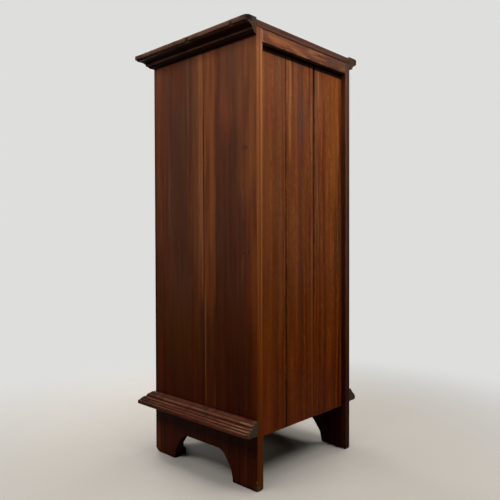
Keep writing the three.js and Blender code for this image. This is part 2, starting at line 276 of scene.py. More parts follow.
def darken_and_shade_foot(wood, tint, narrow):
    """Darker, yellower wood toward the floor, partly stain and partly painted shade, with pale
    threads low down and a black sole of painted contact shadow.
    """
    # Partly stain, partly painted shade: darker and yellower toward the floor, standing in for the
    # light that falls off there.
    wood.shade(wood.fall(wood.z, *DARKER_AND_SHADED), tint)
    wood.shade(wood.fall(wood.z, *YELLOWER), "ffff70")
    threads = wood.fall(wood.z, *THREADED) * wood.rise(narrow, 0.5, 0.64)
    wood.lay(threads * 0.22, "54300f")
    # Painted contact shadow: the wood is laid near black for the last few millimetres above the
    # floor.
    wood.lay(wood.fall(wood.z + (narrow - 0.5) * 0.012, 2 * MM, 6 * MM), "140804")


def stained(name, grain, seed, tones, heart=0.0, depth=0.07, density=110, swirl=1.0, ring=0.14,
            broad=0.4, fine=0.4, short=0.0, streaks=(), lines=(), rubs=(), marks=None, foot=None,
            box=None, worn="8a5a38", wear=0.6, rough=0.5, coat=0.0):
    """Stained and polished wood, its tones from the darkest to the lightest.

    ring, broad, fine and short say how strong the rings and the wide, thin and short figure are.
    The streaks sway with the grain; lines and rubs lie straight over them.
    """
    wood = Wood(name, grain, seed)
    rings = wood.rings(heart, depth, density, swirl)
    wide = wood.cloud(wood.fibres, (30, 30, 1.0), 3.0)
    narrow = wood.cloud(wood.fibres, (130, 130, 2.6), 3.0, 0.55)
    fleck = wood.cloud(wood.fibres, (330, 330, 15), 2.0, 0.6)
    thread = wood.cloud(wood.fibres, (900, 900, 14), 2.0, 0.7)
    pores = wood.patches(wood.fibres, (1500, 1500, 45), 0.6, 0.72, 1.0)
    tone = (0.5 + (wide - 0.5) * broad + (narrow - 0.5) * fine + (fleck - 0.5) * 0.36
            + (thread - 0.5) * 0.25 + (0.5 - rings) * ring)
    if short:
        ripple = wood.cloud(wood.fibres.moved(1, 4, 2), (210, 210, 75), 2.0, 0.6)
        tone = tone + (ripple - 0.5) * short
    places = [0.1 + 0.8 * i / (len(tones) - 1) for i in range(len(tones))]
    wood.base = wood.ramp(tone, places, tones)
    wood.shade(wood.patches(wood.fibres, (24, 24, 1.1), 0.42, 0.7) * 0.2, "d0c8c4")
    redder = wood.patches(wood.fibres.moved(7, 3, 5), (26, 26, 6), 0.4, 0.62, 3.0, 0.6)
    wood.shade(redder * 0.4, "ffc4b0")
    sway = (wood.cloud(wood.fibres, (7, 7, 3.2), 3.5, 0.6) - 0.5) * (14 * MM)
    patchy = 0.3 + wood.patches(wood.fibres, (70, 70, 4.5), 0.32, 0.62) * 0.7
    for low, high, code, share, *run in streaks:
        wood.lay(wood.streak(wood.across + sway, low, high, run) * patchy * share, code)
    wood.lay(pores * 0.35, "1c0c06")
    if marks:
        marks(wood)
    if box:
        rubbed = wood.patches(wood.place, (90, 90, 22), 0.45, 0.62, 3.0, 0.65)
        rubbed = rubbed * wear * (1 - wood.sheltered)
        edge = wood.fall(wood.arris_distance(*box), 0.4 * MM, 2.6 * MM)
        wood.lay(edge * rubbed, worn)
    if foot:
        darken_and_shade_foot(wood, foot, narrow)
    broken = 0.4 + wood.patches(wood.fibres, (60, 60, 26), 0.42, 0.56) * 0.6
    for low, high, code, share, *run in lines:
        wood.lay(wood.streak(wood.across, low, high, run) * broken * share, code)
    for centre, radius, code, share in rubs:
        wood.lay(wood.spot(centre, radius) * broken * share, code)
    shine = rough + (narrow - 0.5) * 0.16 + pores * 0.15 + wood.matt * 0.4
    height = thread * 0.5 + narrow * 0.5 - pores - rings * 0.35
    return wood.finish(shine, height, coat)


# Pieces

def in_scene(name, data):
    made = bpy.data.objects.new(name, data)
    bpy.context.scene.collection.objects.link(made)
    return made


def piece(name, mesh, body, finish, slot, *replaced):
    """A finished piece on its body. Its object is at the origin and its place is in its mesh."""
    made = in_scene(name, mesh)
    mesh.materials.clear()
    mesh.materials.append(finish)
    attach(made, body)
    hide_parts(*replaced)


def written(shape, name):
    """The mesh of a shape, which is let go."""
    mesh = bpy.data.meshes.new(name)
    shape.to_mesh(mesh)
    shape.free()
    return mesh


def mesh_of(shape, name):
    """The mesh of a closed shape, its faces outward."""
    bmesh.ops.recalc_face_normals(shape, faces=shape.faces)
    return written(shape, name)


def bounds_of(mesh):
    """The lowest and highest corners of a mesh."""
    corners = [v.co for v in mesh.vertices]
    return [Vector(end(c[i] for c in corners) for i in range(3)) for end in (min, max)]


def split_long_edges(shape, longest=40 * MM):
    """Adds points along the long edges, so that they can waver."""
    for edge in list(shape.edges):
        count = int(edge.calc_length() / longest)
        start, end = edge.verts
        for left in range(count, 0, -1):
            edge = next(e for e in start.link_edges if e.other_vert(start) is end)
            _, start = bmesh.utils.edge_split(edge, start, 1 / (left + 1))


def ease(shape, arris=ARRIS, waver=0.25 * MM, seed=0.0):
    """Hand-worked arrises: each edge wanders a little, then is rounded over."""
    split_long_edges(shape)
    middle = sum((v.co for v in shape.verts), Vector()) / len(shape.verts)
    for vert in shape.verts:
        for axis in range(3):
            probe = vert.co * 19 + Vector((seed, axis * 5.3, seed * 0.7))
            push = abs(noise.noise(probe)) * waver
            vert.co[axis] += push if vert.co[axis] < middle[axis] else -push
    sharp = [e for e in shape.edges if e.is_manifold and e.calc_face_angle() > radians(28)]
    bmesh.ops.bevel(shape, geom=sharp, offset=arris, segments=3, profile=0.5, affect="EDGES",
                    clamp_overlap=True)


def copy_of(node):
    """A node's own shape as one merged copy with whole flat faces."""
    shape = bmesh.new()
    shape.from_mesh(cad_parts[node].data)
    bmesh.ops.remove_doubles(shape, verts=shape.verts, dist=0.01 * MM)
    bmesh.ops.dissolve_limit(shape, angle_limit=radians(1), verts=shape.verts, edges=shape.edges)
    return shape


def eased_copy(node, arris=ARRIS, waver=0.25 * MM, seed=0.0):
    """The mesh of a node's own shape with hand-worked arrises."""
    shape = copy_of(node)
    ease(shape, arris, waver, seed)
    return mesh_of(shape, node)


def sawn(outline, plane, low, high):
    """A board sawn to an outline in the plane of two axes, from low to high on the third."""
    first, second, third = plane
    shape = bmesh.new()
    rings = []
    for level in (low, high):
        ring = []
        for u, v in outline:
            corner = [0.0, 0.0, 0.0]
            corner[first], corner[second], corner[third] = u, v, level
            ring.append(shape.verts.new(corner))
        shape.faces.new(ring)
        rings.append(ring)
    count = len(outline)
    for i in range(count):
        j = (i + 1) % count
        shape.faces.new((rings[0][i], rings[0][j], rings[1][j], rings[1][i]))
    return shape


def smooth_shares(shares, steps=4):
    """The saw's flowing line through a few measured points."""
    points = [Vector(p) for p in shares]
    flow = []
    for i in range(len(points) - 1):
        before = points[max(i - 1, 0)]
        start, end = points[i], points[i + 1]
        after = points[min(i + 2, len(points) - 1)]
        for step in range(steps):
            t = step / steps
            flow.append(0.5 * ((2 * start) + (end - before) * t
                        + (2 * before - 5 * start + 4 * end - after) * t * t
                        + (3 * start - before - 3 * end + after) * t ** 3))
    return [*flow, points[-1]]


ARCH_CURVE = smooth_shares(ARCH_SHARES)


def foot_curve(inner_edge, inward):
    """From a foot's inner edge on the floor up to the top of the arch."""
    return [(inner_edge + inward * run * ARCH_RUN, rise * ARCH_HEIGHT) for run, rise in ARCH_CURVE]


# Camera at the photograph's viewing angle

CAMERA_PLACE = Vector((1.01665, 0.96279, 0.52479))
CAMERA_TURN = radians(223.24)
CAMERA_PITCH = radians(-0.98)
CAMERA_ROLL = radians(-0.16)
CAMERA_LENS = 39.938
FILM_WIDTH = 36


def set_camera():
    lens = bpy.data.cameras.new("camera")
    lens.lens = CAMERA_LENS
    lens.sensor_width = FILM_WIDTH
    camera = in_scene("camera", lens)
    camera.matrix_world = (Matrix.Translation(CAMERA_PLACE)
                           @ Matrix.Rotation(CAMERA_TURN - radians(90), 4, "Z")
                           @ Matrix.Rotation(CAMERA_PITCH + radians(90), 4, "X")
                           @ Matrix.Rotation(CAMERA_ROLL, 4, "Z"))
    bpy.context.scene.camera = camera


set_camera()


# Studio

# Where the floor starts to fade and where it has become the wall, out from the chest's middle
FADE_START = 0.4
FADE_END = 1.2

# The softboxes: place, what they face, width and height, and power
SOFTBOXES = {
    "overhead": ((0.1, 0.15, 2.3), (0, 0, 0.4), (1.6, 1.6), 22),
    "rear": ((-0.15, 0.97, 1.67), (0, 0.1, 0.75), (0.9, 0.7), 25),
    "side": ((1.15, -0.1, 1.75), (0.1, 0, 0.75), (0.9, 0.7), 26),
    "front": ((-0.1, -1.2, 1.7), (0, -0.1, 0.7), (0.9, 0.7), 25),
    "left": ((-1.2, 0.05, 1.75), (-0.1, 0, 0.7), (0.9, 0.7), 24),
    "low": ((-0.7, -2.1, 0.5), (0, 0, 0.1), (1.4, 0.5), 30),
}


def studio_paper():
    """Paper that takes the shadow near the chest and fades to the pale wall further out."""
    material = bpy.data.materials.new("studio paper")
    material.use_nodes = True
    sheet = Sheet(material.node_tree)
    seen = sheet.node("ShaderNodeLightPath", None, out="Is Camera Ray")
    shade = sheet.node("ShaderNodeBsdfPrincipled", None, {
        "Base Color": sheet.mix(seen, colour("6e6b67"), colour("8d8881")), "Roughness": 0.8,
        "Specular IOR Level": 0.1})
    wall = sheet.node("ShaderNodeEmission", None, {"Color": colour("dededc"), "Strength": 1.0})
    place = sheet.node("ShaderNodeTexCoord", None, out=3)
    away = sheet.node("ShaderNodeVectorMath", {"operation": "LENGTH"}, (place,), out="Value")
    fade = sheet.rise(away, FADE_START, FADE_END) * seen
    surface = sheet.node("ShaderNodeMixShader", None, (fade, shade, wall))
    sheet.node("ShaderNodeOutputMaterial", None, {"Surface": surface})
    return material


def backdrop_mesh():
    """A round floor that turns up into a round wall."""
    reach, bend, height, steps, turns = 3.6, 0.5, 4.0, 12, 96
    profile = [(reach - bend, 0.0)]
    for angle in (radians(90 * step / steps) for step in range(1, steps + 1)):
        profile.append((reach - bend + bend * sin(angle), bend - bend * cos(angle)))
    profile.append((reach, height))
    shape = bmesh.new()
    centre = shape.verts.new((0, 0, 0))
    angles = [radians(360 * i / turns) for i in range(turns)]
    rings = [[shape.verts.new((radius * cos(a), radius * sin(a), level)) for a in angles]
             for radius, level in profile]
    for i in range(turns):
        j = (i + 1) % turns
        shape.faces.new((centre, rings[0][i], rings[0][j]))
        for lower, upper in zip(rings, rings[1:]):
            shape.faces.new((lower[i], lower[j], upper[j], upper[i]))
    mesh = written(shape, "studio")
    mesh.shade_smooth()
    return mesh


def lamp(name, place, target, size, watts):
    light = bpy.data.lights.new(name, "AREA")
    light.shape = "RECTANGLE"
    light.size, light.size_y = size
    light.energy = watts
    made = in_scene(name, light)
    made.location = place
    made.rotation_euler = (Vector(target) - Vector(place)).to_track_quat("-Z", "Y").to_euler()
    made.visible_camera = False


def set_studio():
    scene = bpy.context.scene
    scene.view_settings.view_transform = "Standard"
    studio = in_scene("studio", backdrop_mesh())
    studio.data.materials.append(studio_paper())
    world = bpy.data.worlds.new("studio air")
    world.use_nodes = True
    scene.world = world
    sheet = Sheet(world.node_tree)
    air = sheet.node("ShaderNodeBackground", None, {"Color": colour("f6f4f2"), "Strength": 0.6})
    sheet.node("ShaderNodeOutputWorld", None, {"Surface": air})
    for name, settings in SOFTBOXES.items():
        lamp(f"{name} softbox", *settings)


set_studio()


# Side boards

SIDE_TONES = ["2c170e", "432518", "522e1c", "6e4026"]
SIDE_FOOT_TINT_AND_SHADE = "c07600"
SIDE_HEARTS = {"front": -0.07, "rear": 0.09}

# Worn soles, in from the panel's edge and up; the left rear foot is raised at its inner edge
FRONT_SOLE = ((0, 9), (4, 4.4), (11, 0.7), (17, 0))
REAR_SOLES = {1: ((9, 0), (7, 0.8), (3, 0), (0, 2.5)),
              -1: ((12, 3.7), (7, 6), (4.5, 0), (1.5, 0), (0, 2))}
RAISED_EDGE = (4, 3.3)


def side_outline(which, side):
    """One of the two boards of a side, seen from the side, with half of the arch."""
    gap = SIDE_JOINT_GAP / 2 * (-1 if which == "front" else 1)
    low, high = MIDDLE_Y + SIDE_JOINT_LOW + gap, MIDDLE_Y + SIDE_JOINT_HIGH + gap
    if which == "front":
        sole = [(FRONT_Y + inward * MM, up * MM) for inward, up in FRONT_SOLE]
        return [*sole, *foot_curve(FRONT_Y + FOOT_WIDTH, 1), (low, ARCH_HEIGHT),
                (high, PANEL_TOP), (FRONT_Y, PANEL_TOP)]
    curve = foot_curve(BACK_Y - FOOT_WIDTH, -1)[::-1]
    if side < 0:
        curve[-1] = (BACK_Y - FOOT_WIDTH + RAISED_EDGE[0] * MM, RAISED_EDGE[1] * MM)
    sole = [(BACK_Y - inward * MM, up * MM) for inward, up in REAR_SOLES[side]]
    return [(low, ARCH_HEIGHT), *curve, *sole, (BACK_Y, PANEL_TOP), (high, PANEL_TOP)]


# Streaks up the boards of a side: from and to behind its middle, colour, share, and heights
SIDE_STREAKS = {
    "front": (
        # The first front streak, dark along the front edge, is painted shade at the front arris.
        (-172, -167, "26120c", 0.7, 0.16, 1), (-171, -156, "96683c", 0.8, -0.1, 0.08),
        (-162, -141, "6a341c", 0.5, 0.5, 1), (-160, -144, "6a2c1c", 0.3, 0.1, 0.3),
        (-128, -54, "3e271d", 0.5, 0.2, 0.85), (-84, -60, "5c3a28", 0.5, 0.16, 0.42),
        (-128, -30, "583c30", 0.3, 0.22, 0.46), (-52, -43, "64442e", 0.35, 0.8, 1),
        (-39, -35, "33190f", 0.4, 0.5, 1), (-30, -8, "60391f", 0.5, 0.3, 1),
        (-10, 8, "78472a", 0.8, 0.4, 1), (6.6, 8.8, "34160c", 0.6, 0.1, 0.86)),
    "rear": (
        (8.6, 9.8, "34160c", 0.6, 0.1, 0.86), (10.5, 17, "7a5a3c", 0.75, 0.13, 0.42),
        (15, 26, "603a1c", 0.25, 0.1, 0.24), (10, 44, "74401f", 0.7, 0.375, 1),
        (46, 56, "321a12", 0.45, 0.1, 0.85), (60, 84, "3c2116", 0.3, 0.1, 0.8),
        (62, 128, "663b25", 0.45, 0.78, 1), (70, 92, "6c2e1a", 0.3, 0.74, 0.86),
        (41, 47, "6a4830", 0.7, 0.11, 0.203), (112, 116, "5a3526", 0.4, 0.4, 0.7),
        (116, 172, "6c3c1f", 0.35, 0.6, 1), (136, 172, "78421f", 0.5, 0.62, 1),
        (142, 166, "6c391b", 0.35, 0.36, 0.62), (156, 172, "7c401e", 0.5, 0.16, 0.62),
        (84, 152, "1e0c05", 0.3, 0.1, 0.3)),
}

# Thin lines beside the joint of a side's boards, over the stain, in the streaks' measures
SIDE_LINES = {
    "front": (
        (6.6, 9, "240a04", 0.8, 0.62, 0.8), (6.6, 8.6, "2e120a", 0.5, 0.4, 0.93)),
    "rear": (
        # The first rear line, pale and greyish on the joint low down, is a painted highlight on the
        # joint's arris.
        (9.2, 11.4, "6e5c5a", 0.62, 0.2, 0.385), (8.4, 10, "240a04", 0.8, 0.6, 0.8)),
}

# The panels' back edges: their tones, where each lies, and what they turn to near the floor
EDGE_TONES = {"right": ["5c2c10", "74401a", "8a5024", "a86a34"],
              "left": ["25140e", "3a2219", "492f26", "5e4234"]}
EDGE_PLACES = (0.3, 0.48, 0.62, 0.8)
EDGE_LOW_TONES = {"right": "64602c", "left": "33281e"}

# Old nail holes and a small knot: behind the middle, height, radius, how dark
HOLES = ((137, 720, 9.0, 0.3), (143, 720, 3.4, 0.6), (132, 723, 3.0, 0.35), (135, 498, 3.0, 0.6),
         (148, 500, 2.8, 0.6), (-147, 388, 2.2, 0.7))

# Bare wood where the right-hand feet were knocked: place, radius, colour, share
FOOT_RUBS = (((OUTER_X, BACK_Y - 1.5 * MM, 19.5 * MM), 3.6 * MM, "7a4c3c", 0.6),
             ((OUTER_X - 4 * MM, BACK_Y - 1 * MM, 6 * MM), 9 * MM, "64503f", 0.55),
             ((OUTER_X, FRONT_Y + 6 * MM, 30 * MM), 3 * MM, "6a4434", 0.5))


def back_face(wood):
    """1 on the faces that lie level with the panels' back edges."""
    return wood.past(wood.y, BACK_Y, -1.3, -0.4)


def panel_marks(wood, tones, low_tone):
    """The paler back edge of a panel, with a light line down it, and small dark holes; its inner
    face is laid darker low down as painted shade.
    """
    # Painted shade: the panel's inner face, seen beside the recessed back, is laid darker up to
    # 0.72 m, fading out by 0.88 m.
    inside = (1 - wood.past(abs(wood.x), INNER_X, 0.3, 1.2)) * wood.fall(wood.z, 0.72, 0.88)
    wood.lay(inside * 0.55, "200502")
    face = wood.base
    drift = (wood.cloud(wood.place, (9, 9, 3)) - 0.5) * (5 * MM)
    across = abs(wood.x) + drift * 0.5
    tone = wood.cloud(wood.place, (240, 240, 2.4), 3.0, 0.6) + drift * 20
    wood.base = wood.ramp(tone, EDGE_PLACES, tones)
    line = wood.band(across, INNER_X + 1.8 * MM, INNER_X + 5.6 * MM, 1.5 * MM)
    wood.lay(line * 0.45, tones[3])
    wood.lay(wood.past(across, INNER_X, 12, 16) * 0.4, tones[1])
    wood.lay(wood.fall(wood.z, 0.05, 0.3) * 0.7, low_tone)
    wood.shade(wood.rise(wood.z, 0.92, 0.95) * 0.75, "bfb4b0")
    wood.base = wood.mix(back_face(wood) * 0.9, face, wood.base)
    for y, z, radius, share in HOLES:
        hole = wood.function("MAXIMUM", *(
            wood.spot((x, MIDDLE_Y + y * MM, z * MM), radius * MM) for x in (OUTER_X, -OUTER_X)))
        wood.lay(hole * share, "200a05")


def from_middle(streaks):
    """Streaks measured from a side's middle, as they lie on the side."""
    return [(low + MIDDLE_Y / MM, high + MIDDLE_Y / MM, *rest) for low, high, *rest in streaks]


def make_sides():
    for side_name, side in SIDES:
        low, high = sorted((side * INNER_X, side * OUTER_X))
        for seed, which in enumerate(("front", "rear")):
            name = f"side_{side_name}_{which}_board"
            shape = sawn(side_outline(which, side), (1, 2, 0), low, high)
            ease(shape, seed=seed + side)
            mesh = mesh_of(shape, name)
            finish = stained(
                f"{name} stain", UPRIGHT_SIDE, 1.7 + seed + side * 0.3, SIDE_TONES,
                heart=MIDDLE_Y + SIDE_HEARTS[which], swirl=0.35, ring=0.12, broad=0.25, fine=0.72,
                short=0.16, streaks=from_middle(SIDE_STREAKS[which]),
                lines=from_middle(SIDE_LINES[which]), rubs=FOOT_RUBS, foot=SIDE_FOOT_TINT_AND_SHADE,
                box=bounds_of(mesh), worn="6e4430",
                marks=partial(panel_marks, tones=EDGE_TONES[side_name],
                              low_tone=EDGE_LOW_TONES[side_name]))
            piece(name, mesh, "carcass", finish, "carcass_wood", f"side_panel_{side_name}")


make_sides()


# Rough blocks inside the front corners, and a shim under the worn rear foot on the left

# The blocks' near-black tones are partly painted shade: the dark form they fill inside the front
# feet is partly shadow.
BLOCK_TONES_WITH_SHADE = ["120907", "20120c", "2e1b12", "43291a"]
SHIM_TONES = ["0e0705", "1a0e0a", "26150e", "3a2418"]
BLOCK_OUTLINE = [(0, 0.4), (22, 0.4), (21, 13), (15, 17), (7, 25), (0, 30)]
BLOCK_END_Y = MIDDLE_Y - 104 * MM
SHIM_LENGTH = 17 * MM
SHIM_WIDTH = 18 * MM
SHIM_END_Y = BACK_Y - 12 * MM
SHIM_THICK = 3.6 * MM


def make_foot_blocks():
    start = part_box("front_apron")[1].y
    for name, side in SIDES:
        outline = [(side * (INNER_X - inward * MM), up * MM) for inward, up in BLOCK_OUTLINE]
        shape = sawn(outline, (0, 2, 1), start, BLOCK_END_Y)
        ease(shape, 1.6 * MM, 0.9 * MM, seed=6.5 + side)
        mesh = mesh_of(shape, "foot block")
        piece(f"foot_block_{name}", mesh, "carcass", stained(
            f"foot block {name} wood", LEVEL_SIDE, 4.6 + side, BLOCK_TONES_WITH_SHADE,
            box=bounds_of(mesh), worn="4a3020"), "inside_wood")
    x, y = -OUTER_X + 1.5 * MM, SHIM_END_Y
    shape = sawn([(x, y - SHIM_LENGTH), (x + SHIM_WIDTH, y - SHIM_LENGTH - 1 * MM),
                  (x + 17.5 * MM, y), (x, y - 0.6 * MM)], (0, 1, 2), 0.0, SHIM_THICK)
    ease(shape, 0.6 * MM, 0.2 * MM, seed=9.1)
    mesh = mesh_of(shape, "foot shim")
    piece("foot_shim_left", mesh, "carcass", stained(
        "foot shim wood", LEVEL_SIDE, 5.2, SHIM_TONES, box=bounds_of(mesh), worn="3a2418"),
        "inside_wood")


make_foot_blocks()


# Top, back, apron and face frame

TOP_TONES = ["200e05", "391b09", "48260e", "5c3414"]
BACK_TONES = ["3a1b0a", "542a12", "643616", "8a5024"]
RAIL_TONES = ["260e04", "45200b", "5a2d11", "844c20"]
FACE_TONES = ["2c120a", "46200f", "5a2c18", "764024"]
BACK_FOOT_TINT_AND_SHADE = "e4b000"
BACK_HEARTS = {1: -0.1, 2: 0.03, 3: 0.12}

# Streaks up the back boards, from the middle: from and to, colour, share, and heights
BACK_STREAKS = {
    1: (
        (-46, -40, "120503", 0.8, 0.86, 1), (-57, -44, "6c4a34", 0.45, 0.5, 1),
        (-63, -58, "94582c", 0.5, 0.75, 1), (-74, -66, "7e3c24", 0.5, 0.74, 0.9),
        (-104, -84, "6e3a1a", 0.4, 0.34, 1), (-112, -108, "5a3018", 0.5, 0.4, 0.9),
        (-142, -112, "84481c", 0.5, 0.62, 1), (-134, -130, "4e2812", 0.5, 0.2, 0.9),
        (-146, -138, "2c1006", 0.6, 0.1, 0.72)),
    2: (
        (57, 62, "46281a", 0.5, 0.1, 0.82), (55, 61, "704a34", 0.5, 0.82, 1),
        (46, 54, "9a5e30", 0.6, 0.72, 1), (45, 55, "74421f", 0.4, 0.1, 0.75),
        (37, 42, "32190e", 0.6, 0.84, 0.96), (24, 30, "70452c", 0.5, 0.3, 0.96),
        (6, 22, "4e2e22", 0.55, 0.3, 0.96), (1, 5, "402814", 0.5, 0.3, 0.95),
        (-16, -2, "7c4622", 0.3, 0.5, 1), (-12, 17, "46342e", 0.45, 0.76, 0.84),
        (-24, -19, "2a1c1c", 0.75, 0.8, 0.95), (-34, -26, "80543a", 0.35, 0.1, 0.84),
        (-40, -35, "120503", 0.8, 0.86, 1)),
    3: (
        (112, 150, "784420", 0.4), (78, 96, "66442c", 0.4, 0.3, 1),
        (67, 72, "8c5c38", 0.3, 0.4, 0.8), (100, 104, "5a3018", 0.4, 0.2, 0.9)),
}

# Dirt along the joints of the back boards, in the streaks' measures
BACK_LINES = {
    1: (
        (-43.2, -40, "200a04", 0.65, 0.4, 1),),
    2: (
        (60.2, 64.2, "1a0501", 0.85, 0.05, 0.5), (61.2, 64.2, "1c0602", 0.65, 0.5, 0.96),
        (-40.2, -37, "200a04", 0.65, 0.4, 1)),
    3: (
        (63.8, 66.8, "1a0501", 0.8, 0.05, 0.5), (63.8, 65.6, "1c0602", 0.6, 0.5, 0.96)),
}

# Scrapes across the wide back board, by height
SCRAPES = (0.688, 0.694, 0.702)

# Clouds in the rail's figure: middle across and up, half width and half height, colour, share
RAIL_CLOUDS = ((93, 952, 36, 8, "7c4620", 0.6), (38, 946, 26, 6, "76421c", 0.45),
               (-8, 959, 30, 6, "74502f", 0.5), (28, 961, 30, 7, "44220f", 0.7),
               (-44, 949, 30, 6, "6e4424", 0.4), (8, 951, 16, 5, "542b10", 0.5),
               (148, 952, 18, 20, "522612", 0.8), (-120, 955, 40, 16, "4a2c1a", 0.7))
RAIL_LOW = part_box("back_top_rail")[0].z

# The open joint: its place, which way each board draws back, how far, and over what height
OPEN_JOINT_X = -40 * MM
OPENING_WAYS = {1: -1, 2: 1}
OPENING = 1.3 * MM
OPENING_START = 0.78
OPENING_RUN = 0.16


def open_joint(shape, way):
    """Draws a board's top back from the joint that has opened."""
    split_long_edges(shape)
    for vert in shape.verts:
        if abs(vert.co.x - OPEN_JOINT_X) < 4 * MM:
            vert.co.x += way * OPENING * max(0.0, vert.co.z - OPENING_START) / OPENING_RUN


def darken_far_end(wood, share):
    """Darker toward the left-hand end."""
    wood.shade(wood.fall(wood.x, -0.18, 0.0) * share, "a08c78")


def joint_line(wood):
    """The dark joint under the top board, where the arrises are kept from rubbing."""
    waver = (wood.cloud(wood.place, (6, 5, 5), 1.0) - 0.5) * (4 * MM)
    level = wood.z + waver
    line = wood.band(level, PANEL_TOP - 2.6 * MM, PANEL_TOP + 0.8 * MM, 1.7 * MM)
    wood.sheltered = wood.past(level, PANEL_TOP, -4, -1) * (
        1 - wood.past(wood.z, PANEL_TOP, 1.5, 4))
    wood.lay(line * 0.85, "220a08")


def rail_marks(wood):
    """Figure that runs aslant, pale patches, a paler lower edge, partly rubbed and partly a painted
    highlight, and the joint over it.
    """
    slant = wood.join(wood.x, wood.y, wood.z - wood.x * 0.13)
    flow = wood.cloud(slant, (9, 9, 64), 2.5)
    curl = wood.function("PINGPONG", flow * 7, 0.5)
    wood.lay(wood.fall(curl, 0.0, 0.24) * 0.75, "2a1208")
    wood.lay(wood.patches(slant, (13, 13, 46), 0.5, 0.66) * 0.35, "96642f")
    for x, z, wide, high, code, share in RAIL_CLOUDS:
        across = (wood.x - x * MM) * (1 / (wide * MM)) + (flow - 0.5) * 2
        upward = (wood.z - z * MM) * (1 / (high * MM)) + (flow - 0.5) * 2
        wood.lay(wood.fall(across * across + upward * upward, 0.2, 1.3) * share, code)
    darken_far_end(wood, 0.6)
    # Paler lower edge: rubbed wear and a painted highlight along the rail's lower arris.
    wood.lay((1 - wood.past(wood.z, RAIL_LOW, 0.8, 2.6)) * 0.15, "96705c")
    joint_line(wood)


def top_marks(wood):
    """The top board's back edge, darker toward its far end, with the joint under it."""
    darken_far_end(wood, back_face(wood) * 0.55)
    joint_line(wood)


def back_marks(wood, scraped):
    """A painted shadow under the rail, and faint scrapes across the wide board."""
    # Painted shadow: a near-black band on the boards just under the rail, where its shadow falls
    # into the recess; the band is also made matt.
    wood.matt = wood.past(wood.z, RAIL_LOW, -14, -12)
    wood.lay(wood.matt * 0.92, "0a0201")
    if scraped:
        waver = (wood.cloud(wood.place, (18, 5, 5)) - 0.5) * (6 * MM)
        reach = wood.band(wood.x, 82 * MM, 122 * MM, 6 * MM)
        for z in SCRAPES:
            scrape = wood.band(wood.z + waver, z, z + 1.2 * MM, 0.8 * MM)
            wood.lay(scrape * reach * 0.3, "3a1c0c")


def make_carcass_boards():
    top = eased_copy("top_board", 1.5 * MM, seed=3.1)
    piece("top_board_planed", top, "carcass", stained(
        "top board stain", LEVEL_TOP, 3.1, TOP_TONES, heart=0.05, box=bounds_of(top),
        marks=top_marks, worn="6a4630", wear=0.45), "carcass_wood", "top_board")
    rail = eased_copy("back_top_rail", 1.4 * MM, seed=4.2)
    piece("back_rail_planed", rail, "carcass", stained(
        "back rail stain", LEVEL_FACE, 4.2, RAIL_TONES, heart=0.952, depth=-0.13, density=190,
        swirl=2.2, ring=0.3, broad=0.8, box=bounds_of(rail), rough=0.45, worn="94705a", wear=0.8,
        marks=rail_marks), "back_wood", "back_top_rail")
    for number, heart in BACK_HEARTS.items():
        node = f"back_board_{number}"
        shape = copy_of(node)
        if number in OPENING_WAYS:
            open_joint(shape, OPENING_WAYS[number])
        ease(shape, 0.8 * MM, seed=number)
        board = mesh_of(shape, node)
        piece(f"{node}_planed", board, "carcass", stained(
            f"back board {number} stain", UPRIGHT_BACK, 5 + number * 1.3, BACK_TONES,
            heart=heart, depth=-0.11, swirl=1.1, ring=0.26, broad=0.35, fine=0.5, short=0.6,
            streaks=BACK_STREAKS[number], lines=BACK_LINES[number], foot=BACK_FOOT_TINT_AND_SHADE,
            box=bounds_of(board), worn="6a3c20", wear=0.3, rough=0.45,
            marks=partial(back_marks, scraped=number == 3)), "back_wood", node)
    outline = [(-INNER_X, 0), *foot_curve(-OUTER_X + FOOT_WIDTH, 1),
               *foot_curve(OUTER_X - FOOT_WIDTH, -1)[::-1], (INNER_X, 0), (INNER_X, BASE_BOTTOM),
               (-INNER_X, BASE_BOTTOM)]
    low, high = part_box("front_apron")
    shape = sawn(outline, (0, 2, 1), low.y, high.y)
    ease(shape, seed=7.7)
    apron = mesh_of(shape, "front apron")
    piece("front_apron_sawn", apron, "carcass", stained(
        "apron stain", LEVEL_FACE, 9.3, SIDE_TONES, heart=0.06, foot=SIDE_FOOT_TINT_AND_SHADE,
        box=bounds_of(apron)), "carcass_wood", "front_apron")
    face = eased_copy("front_frame", 0.7 * MM, seed=5.4)
    piece("face_frame_eased", face, "carcass", stained(
        "face frame stain", LEVEL_FACE, 6.1, FACE_TONES, heart=0.5, depth=0.4,
        box=bounds_of(face)), "carcass_wood", "front_frame")


make_carcass_boards()


# Shapes that are carried along a line or turned, by Geometry Nodes

